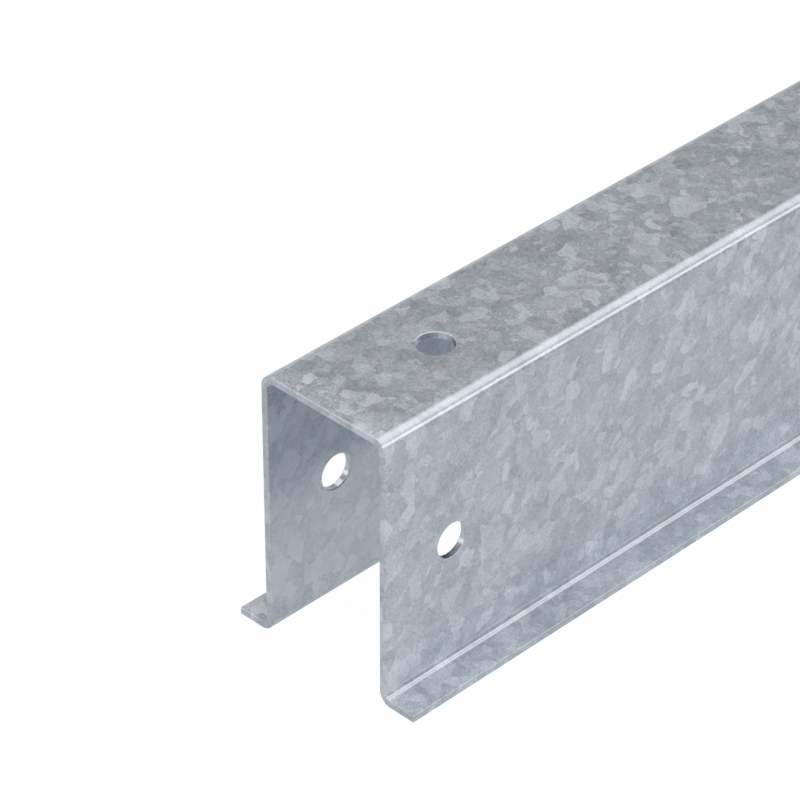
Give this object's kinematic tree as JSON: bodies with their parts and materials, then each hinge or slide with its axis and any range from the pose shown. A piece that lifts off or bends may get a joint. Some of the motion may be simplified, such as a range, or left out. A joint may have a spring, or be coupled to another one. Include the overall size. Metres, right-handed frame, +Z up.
{
  "type": "solar mounting post",
  "caption": "Long galvanised steel post of hat section, open underneath, with outward flanges and bolt holes through the web and legs near its head.",
  "frame": {"origin": "under the middle of the post, on the floor plane of the flange undersides", "axes": "+Y along the post from its holed head to its plain foot, +Z up from the flanges to the web, +X across the post"},
  "size_m": [0.08, 2, 0.1025],
  "materials": {
    "galvanised_sheet": "hot-dip galvanised steel with a soft grey spangle, semi-matt"
  },
  "bodies": {
    "root": {"mounting_post": "galvanised_sheet"}
  },
  "joints": []
}
